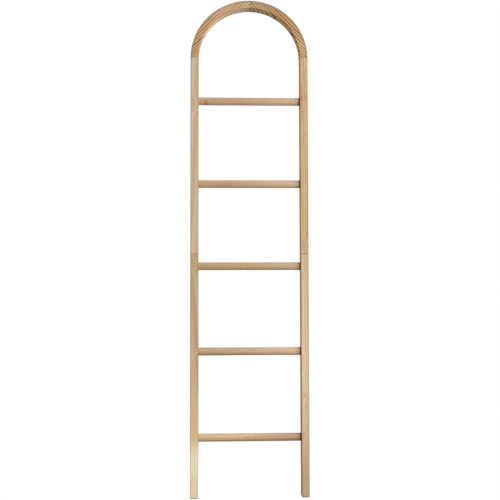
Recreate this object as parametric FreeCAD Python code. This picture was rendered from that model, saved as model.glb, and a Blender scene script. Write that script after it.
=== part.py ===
"""A blanket ladder in pale softwood, to lean on a wall.

Two stiles carry five round rungs and end in a half-round arch. The arch is two quarter rings glued at the
crown and onto the stiles with dowels. Each stile is two lengths, drawn together by a cam lock and lined up
by a dowel. Each rung sits in shallow sockets and is held by a bolt through each stile into a threaded insert
in the rung's end, with a wooden plug over the bolt's head. Felt pads lie under the feet.

Frame: +X to the right as seen from the front, +Y to the wall, +Z up. The origin is on the floor, midway
between the feet and midway through their depth. Lengths are in millimetres.
"""

import FreeCAD, Part
import math
import os

V = FreeCAD.Vector

# Frame of the ladder
LADDER_WIDTH = 434.0  # over both stiles
STILE_WIDTH = 29.0  # as seen from the front
STILE_DEPTH = 40.0  # front face to wall face
EDGE_RADIUS = 3.0  # long edges of the stiles and of the arch

# Heights, from the floor up
FIRST_RUNG_HEIGHT = 214.5
LOWER_RUNG_PITCH = 312.5  # between the three rungs of the lower section
MIDDLE_RUNG_PITCH = 304.5  # across the joint in the stiles
UPPER_RUNG_PITCH = 309.0  # between the two rungs of the upper section
JOINT_ABOVE_RUNG = 45.0  # joint in the stiles, above the third rung
ARCH_ABOVE_RUNG = 158.0  # foot of the arch, above the top rung
LOWER_RUNGS = 3
UPPER_RUNGS = 2

# Broken edges at the ends of the stiles
JOINT_CHAMFER = 0.8
FOOT_CHAMFER = 1.2

# Rungs, in sockets in the stiles
RUNG_DIAMETER = 28.6
RUNG_END_CHAMFER = 1.0
SOCKET_DEPTH = 8.0
SOCKET_CLEARANCE = 0.1  # all round the rung

# Bolt through the stile, under a wooden plug
PLUG_DIAMETER = 13.0
PLUG_THICKNESS = 3.0
PLUG_CHAMFER = 0.4
PLUG_CLEARANCE = 0.05  # all round the plug
BOLT_DIAMETER = 6.0
BOLT_HOLE_CLEARANCE = 0.25  # all round the shank, in the stile
BOLT_HEAD_DIAMETER = 10.0
BOLT_HEAD_HEIGHT = 6.0
BOLT_HEAD_CHAMFER = 0.6
BOLT_REACH = 18.0  # past the rung's end
HEX_KEY_SIZE = 5.0  # across flats
HEX_KEY_DEPTH = 3.0

# Threaded insert in each end of a rung
INSERT_DIAMETER = 11.0  # over the outer thread
INSERT_LENGTH = 20.0
INSERT_THREAD_PITCH = 3.0
INSERT_THREAD_DEPTH = 0.8
INSERT_CLEARANCE = 0.05  # to the rung's bore, and to the bolt
BORE_END_SPACE = 2.0  # left free at the end of a blind hole

# Glued dowels of the arch, a pair at each joint
ARCH_DOWEL_DIAMETER = 8.0
ARCH_DOWEL_LENGTH = 40.0
ARCH_DOWEL_SPACING = 18.0  # front to back
DOWEL_CHAMFER = 0.8
DOWEL_CLEARANCE = 0.05  # all round a dowel, also round the cam bolt's thread

# Loose dowel in the stile's joint, towards the front
STILE_DOWEL_DIAMETER = 10.0
STILE_DOWEL_LENGTH = 50.0
STILE_DOWEL_OFFSET = 8.5  # in front of the stile's middle

# Cam lock in the stile's joint, worked from the wall face
CAM_HEIGHT = 34.0  # centre of the cam above the joint
CAM_DIAMETER = 15.0
CAM_THICKNESS = 13.0
CAM_CLEARANCE = 0.1  # round the cam
CAM_DRIVE_WIDTH = 1.4
CAM_DRIVE_LENGTH = 9.0
CAM_DRIVE_DEPTH = 2.5
COVER_DIAMETER = 18.0
COVER_THICKNESS = 1.6
COVER_CHAMFER = 0.4
COVER_CLEARANCE = 0.05  # round the cover

# Bolt that the cam draws up, screwed into the lower length
CAM_BOLT_DEPTH = 8.4  # its axis, below the cam's outer face
CAM_BOLT_DIAMETER = 6.0
CAM_BOLT_CLEARANCE = 0.3  # round the bolt, in the upper length and in the cam
CAM_BOLT_HEAD_DIAMETER = 7.0
CAM_BOLT_HEAD_HEIGHT = 2.5
CAM_BOLT_NECK_DIAMETER = 4.0
CAM_BOLT_SHOULDER_SPACE = 1.0  # between the shoulder under the neck and the cam
CAM_BOLT_COLLAR_DIAMETER = 9.0
CAM_BOLT_COLLAR_HEIGHT = 1.5
CAM_THREAD_DIAMETER = 6.8
CAM_THREAD_LENGTH = 12.0
CAM_THREAD_PITCH = 2.4
CAM_THREAD_DEPTH = 0.7

# Pads under the feet
PAD_THICKNESS = 3.0
PAD_INSET = 1.5

# Places that follow from the sizes above
STILE_X = (LADDER_WIDTH - STILE_WIDTH) / 2  # middle of a stile
OUTER_FACE_X = LADDER_WIDTH / 2
INNER_FACE_X = OUTER_FACE_X - STILE_WIDTH
SOCKET_END_X = INNER_FACE_X + SOCKET_DEPTH
PLUG_BORE_DEPTH = PLUG_THICKNESS + BOLT_HEAD_HEIGHT
HEAD_SEAT_X = OUTER_FACE_X - PLUG_BORE_DEPTH
RUNG_BORE_DEPTH = max(INSERT_LENGTH, BOLT_REACH) + BORE_END_SPACE

FIRST_UPPER_RUNG_HEIGHT = FIRST_RUNG_HEIGHT + LOWER_RUNG_PITCH * (LOWER_RUNGS - 1) + MIDDLE_RUNG_PITCH
LOWER_RUNG_HEIGHTS = [FIRST_RUNG_HEIGHT + LOWER_RUNG_PITCH * k for k in range(LOWER_RUNGS)]
UPPER_RUNG_HEIGHTS = [FIRST_UPPER_RUNG_HEIGHT + UPPER_RUNG_PITCH * k for k in range(UPPER_RUNGS)]
RUNG_HEIGHTS = LOWER_RUNG_HEIGHTS + UPPER_RUNG_HEIGHTS
JOINT_HEIGHT = LOWER_RUNG_HEIGHTS[-1] + JOINT_ABOVE_RUNG
ARCH_FOOT_HEIGHT = UPPER_RUNG_HEIGHTS[-1] + ARCH_ABOVE_RUNG
CROWN_HEIGHT = ARCH_FOOT_HEIGHT + STILE_X  # middle of the arch at its top

WALL_FACE_Y = STILE_DEPTH / 2
CAM_FACE_Y = WALL_FACE_Y - COVER_THICKNESS
CAM_BOLT_Y = CAM_FACE_Y - CAM_BOLT_DEPTH
CAM_CENTRE_HEIGHT = JOINT_HEIGHT + CAM_HEIGHT

SIDES = {"left": -1, "right": 1}
RIGHT = V(1, 0, 0)
BACK = V(0, 1, 0)
UP = V(0, 0, 1)
QUARTER_TURN = 90
FULL_TURN = 360
SAME_HEIGHT = 1e-6  # heights closer than this are one height


# ---- Shapes that the pieces share ----


def bar_section(x, z, inset=0.0):
    """Cross-section of a stile as a level face with rounded corners and its middle at x, z."""
    half_width = STILE_WIDTH / 2 - inset
    half_depth = STILE_DEPTH / 2 - inset
    radius = max(EDGE_RADIUS - inset, EDGE_RADIUS / 2)
    arcs = []
    for turn, (sx, sy) in enumerate(((1, 1), (-1, 1), (-1, -1), (1, -1))):
        centre = V(x + sx * (half_width - radius), sy * (half_depth - radius), z)
        angles = [math.radians(QUARTER_TURN * (turn + part)) for part in (0, 0.5, 1)]
        arcs.append([centre + V(math.cos(a), math.sin(a), 0) * radius for a in angles])
    edges = []
    for arc, following in zip(arcs, arcs[1:] + arcs[:1]):
        edges.append(Part.Arc(*arc).toShape())
        edges.append(Part.LineSegment(arc[-1], following[0]).toShape())
    return Part.Face(Part.Wire(edges))


def hole(radius, length, base, axis):
    """Round tool from base along axis."""
    return Part.makeCylinder(radius, length, base, axis)


def turned(profile, base, axis):
    """Solid of revolution from a profile of (radius, distance along the axis) points."""
    across = UP if axis.dot(UP) == 0 else RIGHT
    points = [base + across * radius + axis * along for radius, along in profile]
    points += [base + axis * profile[-1][1], base + axis * profile[0][1]]
    return Part.Face(Part.makePolygon(points + points[:1])).revolve(base, axis, FULL_TURN)


def pin(radius, length, base, axis, chamfer):
    """Round pin from base along axis, with both ends chamfered."""
    ends = [(radius - chamfer, 0), (radius, chamfer), (radius, length - chamfer), (radius - chamfer, length)]
    return turned(ends, base, axis)


def thread_profile(radius, depth, pitch, length):
    """Profile of a threaded stretch, drawn as rings whose crests stand about a pitch apart."""
    count = max(1, round(length / pitch))
    step = length / count
    points = [(radius - depth, 0)]
    for k in range(count):
        points += [(radius, (k + 0.5) * step), (radius - depth, (k + 1) * step)]
    return points


def outward(side):
    """Unit vector from the middle of the ladder to one side."""
    return RIGHT * SIDES[side]


# ---- Arch ----


def arch_foot(side):
    """Middle of the joint between the arch and a stile."""
    return V(SIDES[side] * STILE_X, 0, ARCH_FOOT_HEIGHT)


def crown():
    """Middle of the joint between the two quarters."""
    return V(0, 0, CROWN_HEIGHT)


def dowel_places(middle):
    """Middles of the two dowels of an arch joint, one in front of the other."""
    return [middle + BACK * (ARCH_DOWEL_SPACING * part) for part in (-0.5, 0.5)]


def arch_dowels(middle, axis):
    """Pair of dowels across an arch joint."""
    start = axis * (ARCH_DOWEL_LENGTH / 2)
    return [
        pin(ARCH_DOWEL_DIAMETER / 2, ARCH_DOWEL_LENGTH, place - start, axis, DOWEL_CHAMFER)
        for place in dowel_places(middle)
    ]


def arch_dowel_holes(middle, axis):
    """Holes for that pair, on the side of the joint that axis points to."""
    radius = ARCH_DOWEL_DIAMETER / 2 + DOWEL_CLEARANCE
    depth = ARCH_DOWEL_LENGTH / 2 + BORE_END_SPACE
    return [hole(radius, depth, place, axis) for place in dowel_places(middle)]


def arch_quarter(side):
    """Quarter ring from the top of a stile to the crown."""
    section = bar_section(SIDES[side] * STILE_X, ARCH_FOOT_HEIGHT)
    ring = section.revolve(V(0, 0, ARCH_FOOT_HEIGHT), BACK, -QUARTER_TURN * SIDES[side])
    return ring.cut(arch_dowel_holes(arch_foot(side), UP) + arch_dowel_holes(crown(), outward(side)))


# ---- Stiles ----


def stile_length(side, bottom, top, bottom_chamfer=0.0, top_chamfer=0.0):
    """Plain length of a stile, with its end edges broken where a chamfer is given."""
    length = bar_section(SIDES[side] * STILE_X, bottom).extrude(UP * (top - bottom))
    for height, chamfer in ((bottom, bottom_chamfer), (top, top_chamfer)):
        if chamfer:
            rim = [e for e in length.Edges if all(abs(v.Z - height) < SAME_HEIGHT for v in e.Vertexes)]
            length = length.makeChamfer(chamfer, rim)
    return length


def rung_holes(side, height):
    """Socket, bolt hole and plug bore in a stile, for the end of one rung."""
    out = outward(side)
    level = UP * height
    return [
        hole(RUNG_DIAMETER / 2 + SOCKET_CLEARANCE, SOCKET_DEPTH, level + out * INNER_FACE_X, out),
        hole(BOLT_DIAMETER / 2 + BOLT_HOLE_CLEARANCE, STILE_WIDTH, level + out * INNER_FACE_X, out),
        hole(PLUG_DIAMETER / 2 + PLUG_CLEARANCE, PLUG_BORE_DEPTH, level + out * HEAD_SEAT_X, out),
    ]


def stile_dowel_middle(side):
    """Middle of the loose dowel, in the joint."""
    return V(SIDES[side] * STILE_X, -STILE_DOWEL_OFFSET, JOINT_HEIGHT)


def stile_dowel_hole(side, axis):
    """Hole for the loose dowel, on the side of the joint that axis points to."""
    radius = STILE_DOWEL_DIAMETER / 2 + DOWEL_CLEARANCE
    return hole(radius, STILE_DOWEL_LENGTH / 2 + BORE_END_SPACE, stile_dowel_middle(side), axis)


def cam_bolt_place(side):
    """Where the cam bolt's axis crosses the joint."""
    return V(SIDES[side] * STILE_X, CAM_BOLT_Y, JOINT_HEIGHT)


def cam_face(side):
    """Centre of the cam's outer face."""
    return V(SIDES[side] * STILE_X, CAM_FACE_Y, CAM_CENTRE_HEIGHT)


def lower_stile(side):
    """Lower length of a stile, from its pad to the joint."""
    place = cam_bolt_place(side)
    thread_depth = CAM_BOLT_COLLAR_HEIGHT + CAM_THREAD_LENGTH
    cuts = [cut for height in LOWER_RUNG_HEIGHTS for cut in rung_holes(side, height)]
    cuts += [
        stile_dowel_hole(side, -UP),
        hole(CAM_BOLT_COLLAR_DIAMETER / 2 + DOWEL_CLEARANCE, CAM_BOLT_COLLAR_HEIGHT, place, -UP),
        hole(CAM_THREAD_DIAMETER / 2 + DOWEL_CLEARANCE, thread_depth, place, -UP),
    ]
    return stile_length(side, PAD_THICKNESS, JOINT_HEIGHT, FOOT_CHAMFER, JOINT_CHAMFER).cut(cuts)


def upper_stile(side):
    """Upper length of a stile, from the joint to the arch."""
    bolt_bore = max(CAM_BOLT_DIAMETER, CAM_BOLT_HEAD_DIAMETER) / 2 + CAM_BOLT_CLEARANCE
    cuts = [cut for height in UPPER_RUNG_HEIGHTS for cut in rung_holes(side, height)]
    cuts += arch_dowel_holes(arch_foot(side), -UP)
    cuts += [
        stile_dowel_hole(side, UP),
        hole(bolt_bore, CAM_HEIGHT, cam_bolt_place(side), UP),
        hole(CAM_DIAMETER / 2 + CAM_CLEARANCE, CAM_THICKNESS, cam_face(side), -BACK),
        hole(COVER_DIAMETER / 2 + COVER_CLEARANCE, COVER_THICKNESS, cam_face(side), BACK),
    ]
    return stile_length(side, JOINT_HEIGHT, ARCH_FOOT_HEIGHT, bottom_chamfer=JOINT_CHAMFER).cut(cuts)


def stile_dowel(side):
    """Loose dowel that lines up the two lengths of a stile."""
    start = stile_dowel_middle(side) - UP * (STILE_DOWEL_LENGTH / 2)
    return pin(STILE_DOWEL_DIAMETER / 2, STILE_DOWEL_LENGTH, start, UP, DOWEL_CHAMFER)


def foot_pad(side):
    """Felt pad under a foot, a little smaller than the stile."""
    return bar_section(SIDES[side] * STILE_X, 0, PAD_INSET).extrude(UP * PAD_THICKNESS)


# ---- Cam lock ----


def cam_bolt(side):
    """Bolt with a thread below the joint, a collar in it, and a necked head in the cam."""
    collar_top = CAM_THREAD_LENGTH + CAM_BOLT_COLLAR_HEIGHT
    head_middle = collar_top + CAM_HEIGHT
    head_bottom = head_middle - CAM_BOLT_HEAD_HEIGHT / 2
    shoulder = head_middle - CAM_DIAMETER / 2 - CAM_BOLT_SHOULDER_SPACE
    profile = thread_profile(CAM_THREAD_DIAMETER / 2, CAM_THREAD_DEPTH, CAM_THREAD_PITCH, CAM_THREAD_LENGTH)
    stretches = (
        (CAM_BOLT_COLLAR_DIAMETER, CAM_THREAD_LENGTH, collar_top),
        (CAM_BOLT_DIAMETER, collar_top, shoulder),
        (CAM_BOLT_NECK_DIAMETER, shoulder, head_bottom),
        (CAM_BOLT_HEAD_DIAMETER, head_bottom, head_bottom + CAM_BOLT_HEAD_HEIGHT),
    )
    for diameter, start, end in stretches:
        profile += [(diameter / 2, start), (diameter / 2, end)]
    return turned(profile, cam_bolt_place(side) - UP * collar_top, UP)


def cam(side):
    """Drum with a way in for the bolt's head from the side, and a slot in which the neck swings down."""
    face = cam_face(side)
    centre = V(face.x, CAM_BOLT_Y, CAM_CENTRE_HEIGHT)
    inward = -outward(side)
    head_radius = CAM_BOLT_HEAD_DIAMETER / 2 + CAM_BOLT_CLEARANCE
    neck_radius = CAM_BOLT_NECK_DIAMETER / 2 + CAM_BOLT_CLEARANCE
    pocket_floor = centre - UP * (CAM_BOLT_HEAD_HEIGHT / 2)
    slot_corner = centre + V(min(0, inward.x) * CAM_DIAMETER, -neck_radius, -CAM_DIAMETER)
    cuts = [
        hole(head_radius, CAM_BOLT_HEAD_HEIGHT + CAM_BOLT_CLEARANCE, pocket_floor, UP),
        hole(head_radius, CAM_DIAMETER, centre, inward),
        hole(neck_radius, CAM_DIAMETER, centre, -UP),
        Part.makeBox(CAM_DIAMETER, 2 * neck_radius, CAM_DIAMETER, slot_corner),
    ]
    for length, width in ((CAM_DRIVE_LENGTH, CAM_DRIVE_WIDTH), (CAM_DRIVE_WIDTH, CAM_DRIVE_LENGTH)):
        corner = face - V(length / 2, CAM_DRIVE_DEPTH, width / 2)
        cuts.append(Part.makeBox(length, CAM_DRIVE_DEPTH, width, corner))
    return hole(CAM_DIAMETER / 2, CAM_THICKNESS, face, -BACK).cut(cuts)


def cam_cover(side):
    """Round cover over the cam, flush with the wall face."""
    radius = COVER_DIAMETER / 2
    rim = [(radius, 0), (radius, COVER_THICKNESS - COVER_CHAMFER), (radius - COVER_CHAMFER, COVER_THICKNESS)]
    return turned(rim, cam_face(side), BACK)


# ---- Rungs and their fastenings ----


def rung_end(side, height):
    """Centre of a rung's end face."""
    return outward(side) * SOCKET_END_X + UP * height


def rung(height):
    """Round rung between its sockets, bored at both ends for the inserts."""
    bar = pin(RUNG_DIAMETER / 2, 2 * SOCKET_END_X, rung_end("left", height), RIGHT, RUNG_END_CHAMFER)
    bore = INSERT_DIAMETER / 2 + INSERT_CLEARANCE
    return bar.cut([hole(bore, RUNG_BORE_DEPTH, rung_end(side, height), -outward(side)) for side in SIDES])


def rung_insert(side, height):
    """Threaded insert, a sleeve with a coarse thread outside and the bolt's bore inside."""
    mouth = rung_end(side, height)
    profile = thread_profile(INSERT_DIAMETER / 2, INSERT_THREAD_DEPTH, INSERT_THREAD_PITCH, INSERT_LENGTH)
    bore = hole(BOLT_DIAMETER / 2 + INSERT_CLEARANCE, INSERT_LENGTH, mouth, -outward(side))
    return turned(profile, mouth, -outward(side)).cut(bore)


def rung_bolt(side, height):
    """Bolt with a cheese head and a hexagon socket, its head at the bottom of the plug bore."""
    out = outward(side)
    seat = out * HEAD_SEAT_X + UP * height
    reach = HEAD_SEAT_X - SOCKET_END_X + BOLT_REACH
    head = pin(BOLT_HEAD_DIAMETER / 2, BOLT_HEAD_HEIGHT, seat, out, BOLT_HEAD_CHAMFER)
    bolt = head.fuse(hole(BOLT_DIAMETER / 2, reach + BOLT_HEAD_CHAMFER, seat - out * reach, out))
    floor = seat + out * (BOLT_HEAD_HEIGHT - HEX_KEY_DEPTH)
    corner = HEX_KEY_SIZE / math.sqrt(3)
    angles = [math.radians(FULL_TURN / 6 * k) for k in range(7)]
    hexagon = Part.makePolygon([floor + V(0, math.cos(a), math.sin(a)) * corner for a in angles])
    return bolt.cut(Part.Face(hexagon).extrude(out * HEX_KEY_DEPTH)).removeSplitter()


def rung_plug(side, height):
    """Wooden plug over a bolt's head, flush with the stile's outer face."""
    radius = PLUG_DIAMETER / 2
    base = outward(side) * (OUTER_FACE_X - PLUG_THICKNESS) + UP * height
    rim = [(radius, 0), (radius, PLUG_THICKNESS - PLUG_CHAMFER), (radius - PLUG_CHAMFER, PLUG_THICKNESS)]
    return turned(rim, base, outward(side))


# ---- The nodes ----


def nodes():
    """Solids of every node, by the node's name."""
    pieces = {"crown_dowels": arch_dowels(crown(), RIGHT)}
    for number, height in enumerate(RUNG_HEIGHTS, 1):
        pieces[f"rung_{number}"] = [rung(height)]
    for side in SIDES:
        pieces[f"arch_quarter_{side}"] = [arch_quarter(side)]
        pieces[f"arch_foot_dowels_{side}"] = arch_dowels(arch_foot(side), UP)
        pieces[f"upper_stile_{side}"] = [upper_stile(side)]
        pieces[f"lower_stile_{side}"] = [lower_stile(side)]
        pieces[f"stile_dowel_{side}"] = [stile_dowel(side)]
        pieces[f"cam_bolt_{side}"] = [cam_bolt(side)]
        pieces[f"cam_{side}"] = [cam(side)]
        pieces[f"cam_cover_{side}"] = [cam_cover(side)]
        pieces[f"rung_inserts_{side}"] = [rung_insert(side, height) for height in RUNG_HEIGHTS]
        pieces[f"rung_bolts_{side}"] = [rung_bolt(side, height) for height in RUNG_HEIGHTS]
        pieces[f"rung_plugs_{side}"] = [rung_plug(side, height) for height in RUNG_HEIGHTS]
        pieces[f"foot_pad_{side}"] = [foot_pad(side)]
    return pieces


def main():
    os.makedirs("parts", exist_ok=True)
    for name, solids in sorted(nodes().items()):
        shape = solids[0] if len(solids) == 1 else Part.makeCompound(solids)
        shape.exportStep(f"parts/{name}.step")
        print(f"{name}: {len(shape.Solids)} solid(s), {shape.Volume:.0f} mm3, valid {shape.isValid()}")
    top = CROWN_HEIGHT + STILE_WIDTH / 2
    print(f"top {top:.1f}, arch foot {ARCH_FOOT_HEIGHT:.1f}, joint {JOINT_HEIGHT:.1f}")


main()
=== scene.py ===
# %% [markdown]
# # A blanket ladder in pine, dressed for its picture
# The ladder comes as a set of finished solids: four lengths of stile, five round rungs, an arch in two
# quarters, and the fittings that hold them. No solid is moved or cut here, and only the two felt pads
# give way to modelled ones. What is missing is everything that makes wood look like wood, so most of
# this lesson is about one question: how does a board get its pattern?
#
# Lengths are in metres, because Blender and the frame use metres. Sizes that a joiner would give in
# millimetres are multiplied by MM, or have mm in their names and are turned to metres where they are
# used.

# %% Load the ladder
import math

import bmesh
import bpy
from mathutils import Matrix, Vector, noise


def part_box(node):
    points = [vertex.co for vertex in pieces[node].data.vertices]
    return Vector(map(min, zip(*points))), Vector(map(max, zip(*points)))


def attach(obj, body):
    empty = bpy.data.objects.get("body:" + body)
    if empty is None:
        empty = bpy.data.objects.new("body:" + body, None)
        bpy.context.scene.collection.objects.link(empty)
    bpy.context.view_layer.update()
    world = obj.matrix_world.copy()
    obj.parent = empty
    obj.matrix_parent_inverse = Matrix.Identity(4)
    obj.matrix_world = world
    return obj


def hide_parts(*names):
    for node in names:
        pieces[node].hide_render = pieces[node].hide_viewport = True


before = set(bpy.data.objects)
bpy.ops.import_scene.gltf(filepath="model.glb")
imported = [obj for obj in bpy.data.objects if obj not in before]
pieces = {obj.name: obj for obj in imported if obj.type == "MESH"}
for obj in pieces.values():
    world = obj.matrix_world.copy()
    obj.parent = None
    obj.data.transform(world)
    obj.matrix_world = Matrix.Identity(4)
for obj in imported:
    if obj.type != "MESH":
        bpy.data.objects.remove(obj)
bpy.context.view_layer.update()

MM = 0.001

# %% [markdown]
# ## Three small helpers
# Colours are written as on a paint card, in sRGB hex. Shaders want them linear, so one function
# converts them. Every material below is a network of nodes. One function makes a material without any,
# and one adds a node: its settings are given by name, and its inputs by their name or number, as a
# value or as another node whose output feeds it.


# %% Colours and nodes
def colour(hex_code):
    """Linear RGBA from an sRGB hex code, by the curve of the sRGB standard."""
    channels = [int(hex_code[k : k + 2], 16) / 255 for k in (1, 3, 5)]
    linear = [c / 12.92 if c <= 0.04045 else ((c + 0.055) / 1.055) ** 2.4 for c in channels]
    return (*linear, 1.0)


def add(tree, kind, inputs=None, **settings):
    """Adds a node. An input is a value, a socket, or a node whose first output in use is meant."""
    node = tree.nodes.new("ShaderNode" + kind)
    for name, value in settings.items():
        setattr(node, name, value)
    for key, value in (inputs or {}).items():
        in_use = [socket for socket in node.inputs if socket.enabled]
        socket = node.inputs[key] if isinstance(key, int) else next(s for s in in_use if s.name == key)
        if isinstance(value, bpy.types.Node):
            value = next(s for s in value.outputs if s.enabled)
        if isinstance(value, bpy.types.NodeSocket):
            tree.links.new(value, socket)
        else:
            socket.default_value = value
    return node


def new_material(name):
    """An empty node material and its tree."""
    material = bpy.data.materials.new(name)
    material.use_nodes = True
    material.node_tree.nodes.clear()
    return material, material.node_tree


print("pine cream in linear light:", [round(c, 3) for c in colour("#C9AD86")])

# %% [markdown]
# ## From log to board
# A tree adds a ring a year around its pith. A board is a block sawn out of that log, so its pattern is
# whatever rings the block happens to cut through: straight pinstripes where the saw ran towards the
# pith, tall arches where it ran past it, and arcs on the end. An image wrapped round the board would
# get the corners and the ends wrong. So the pattern is worked out in the log's own space: each piece
# says where its pith lies and which way its grain runs, and every point of its surface looks up how far
# from the pith it is.


# %% Log coordinates
def log_rotation(grain):
    """Rotation that turns the Z axis into the direction of the grain."""
    return Vector((0, 0, 1)).rotation_difference(Vector(grain).normalized())


def log_coordinates(tree, grain, pith):
    """Position in millimetres from a point on the pith, with Z along the grain."""
    inputs = {
        "Vector": add(tree, "TexCoord").outputs["Object"],
        "Location": pith,
        "Rotation": log_rotation(grain).to_euler(),
        "Scale": (MM, MM, MM),
    }
    return add(tree, "Mapping", inputs, vector_type="TEXTURE")


def grain_pattern(tree, log, across_mm, along_mm, seed, detail=2.0):
    """Cloudy pattern from 0 to 1 whose patches are across_mm wide and along_mm long."""
    stretch = (1 / across_mm, 1 / across_mm, 1 / along_mm)
    stretched = add(tree, "VectorMath", {0: log, 1: stretch}, operation="MULTIPLY")
    shift = (seed, 0.7 * seed, -seed)
    moved = add(tree, "VectorMath", {0: stretched, 1: shift}, operation="ADD")
    return add(tree, "TexNoise", {"Vector": moved, "Scale": 1.0, "Detail": detail})


print("a stile's grain tilts by", round(math.degrees(log_rotation((0.01, 0.0, 1.0)).angle), 2), "degrees")

# %% [markdown]
# ## Knots
# A knot is the foot of a branch. The branch grew straight out from the pith, and the trunk's rings had
# to flow round it, which is why the lines swell on both sides of a knot. So a knot does two things
# here: it pushes the rings outwards around its own axis, and close to that axis it shows its own
# darker, redder wood. A knot that lies just under the surface shows the swollen lines and hardly any of
# its own colour.

# %% Where the knots are
BRANCH_SLOPE = 0.12  # branches point upwards a little
WIDTH_PER_HEIGHT = 0.62  # rings flow round a branch in a spindle, longer along the grain than across
LIFT_PER_RADIUS = 1.6


def knot_nearness(tree, log, grain, pith, place, radius_mm):
    """Distance from a branch's axis, in branch radii. The branch runs from the pith through place."""
    centre = log_rotation(grain).inverted() @ (Vector(place) - Vector(pith)) / MM
    rise = BRANCH_SLOPE * math.hypot(centre.x, centre.y)
    branch = Vector((centre.x, centre.y, rise)).normalized()
    away = add(tree, "VectorMath", {0: log, 1: centre}, operation="SUBTRACT")
    along = add(tree, "VectorMath", {0: away, 1: branch}, operation="PROJECT")
    aside = add(tree, "VectorMath", {0: away, 1: along}, operation="SUBTRACT")
    shape = (1 / radius_mm, 1 / radius_mm, WIDTH_PER_HEIGHT / radius_mm)
    in_radii = add(tree, "VectorMath", {0: aside, 1: shape}, operation="MULTIPLY")
    return add(tree, "VectorMath", {0: in_radii}, operation="LENGTH")


def lift_from_knots(tree, nearnesses):
    """How far the knots push the rings outwards, in mm: a bell curve round each branch, two radii wide."""
    lift = 0.0
    for nearness, radius_mm in nearnesses:
        half = add(tree, "Math", {0: nearness, 1: 0.5}, operation="MULTIPLY")
        square = add(tree, "Math", {0: half, 1: half}, operation="MULTIPLY")
        fall = add(tree, "Math", {0: square, 1: -1.0}, operation="MULTIPLY")
        bell = add(tree, "Math", {0: fall}, operation="EXPONENT")
        raised = {0: bell, 1: LIFT_PER_RADIUS * radius_mm, 2: lift}
        lift = add(tree, "Math", raised, operation="MULTIPLY_ADD")
    return lift


print("two radii from a branch the rings are still lifted by", round(math.exp(-1), 2), "of the most")

# %% The knots' own colours
RESIN_STAIN, KNOT_PALE, KNOT_DARK = "#C6905C", "#BC7B48", "#96592F"
STAIN_SHARE = 0.4
RINGS_PER_RADIUS = 5.0


def knot_colours(tree, surface, nearnesses, strengths):
    """Paints the branch wood of the knots that reach the surface, and the resin-stained wood round them."""
    for (nearness, _), strength in zip(nearnesses, strengths):
        stain = STAIN_SHARE * strength
        halo = {"Value": nearness, "From Min": 0.9, "From Max": 2.2, "To Min": stain, "To Max": 0.0}
        halo = add(tree, "MapRange", halo, interpolation_type="SMOOTHSTEP")
        stained = {"Factor": halo, "A": surface, "B": colour(RESIN_STAIN)}
        surface = add(tree, "Mix", stained, data_type="RGBA")
        ring = add(tree, "Math", {0: nearness, 1: RINGS_PER_RADIUS}, operation="MULTIPLY")
        ring = add(tree, "Math", {0: ring}, operation="FRACT")
        wood = {"Factor": ring, "A": colour(KNOT_PALE), "B": colour(KNOT_DARK)}
        wood = add(tree, "Mix", wood, data_type="RGBA")
        core = {"Value": nearness, "From Min": 0.7, "From Max": 1.15, "To Min": strength, "To Max": 0.0}
        core = add(tree, "MapRange", core, interpolation_type="SMOOTHSTEP")
        surface = add(tree, "Mix", {"Factor": core, "A": surface, "B": wood}, data_type="RGBA")
    return surface


print("a knot of 5 mm radius has a ring every", 5 / RINGS_PER_RADIUS, "mm")

# %% [markdown]
# ## Growth rings
# In pine each year starts with pale, open earlywood and ends with a hard, amber line of latewood. The
# line comes on slowly and stops at once, like a saw tooth. Years differ, so the rings aren't evenly
# spaced, and some lines are stronger than others. The trunk isn't quite round either: slow and quick
# wobbles bend the rings.

# %% How old the wood is
SLOW_WOBBLE_MM, QUICK_WOBBLE_MM = (45, 420), (9, 130)  # across and along the grain
QUICK_SHARE = 0.16
WEATHER_PER_YEAR = 0.31


def years_from_pith(tree, log, ring_mm, seed, lift, wobble_mm, uneven):
    """Age of the wood in years at each point. lift is what the knots add to the radius, in mm."""
    flat = add(tree, "VectorMath", {0: log, 1: (1, 1, 0)}, operation="MULTIPLY")
    radius = add(tree, "VectorMath", {0: flat}, operation="LENGTH")
    slow = grain_pattern(tree, log, *SLOW_WOBBLE_MM, seed)
    quick = grain_pattern(tree, log, *QUICK_WOBBLE_MM, seed + 3.1)
    for wobble, reach_mm in ((slow, wobble_mm), (quick, QUICK_SHARE * wobble_mm)):
        centred = add(tree, "Math", {0: wobble, 1: 0.5}, operation="SUBTRACT")
        radius = add(tree, "Math", {0: centred, 1: reach_mm, 2: radius}, operation="MULTIPLY_ADD")
    radius = add(tree, "Math", {0: radius, 1: lift}, operation="ADD")
    even = add(tree, "Math", {0: radius, 1: 1 / ring_mm}, operation="MULTIPLY")
    weather = {"W": even, "Scale": WEATHER_PER_YEAR, "Detail": 1.0}
    weather = add(tree, "TexNoise", weather, noise_dimensions="1D")
    return add(tree, "Math", {0: weather, 1: uneven, 2: even}, operation="MULTIPLY_ADD")


print("rings are wide or narrow in spells of about", round(1 / WEATHER_PER_YEAR), "years")

# %% Latewood lines
LINE_STARTS, LINE_FULL, LINE_STOPS = 0.35, 0.72, 0.90  # in parts of a year's growth
WEAKEST_LINE = 0.5


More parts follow.
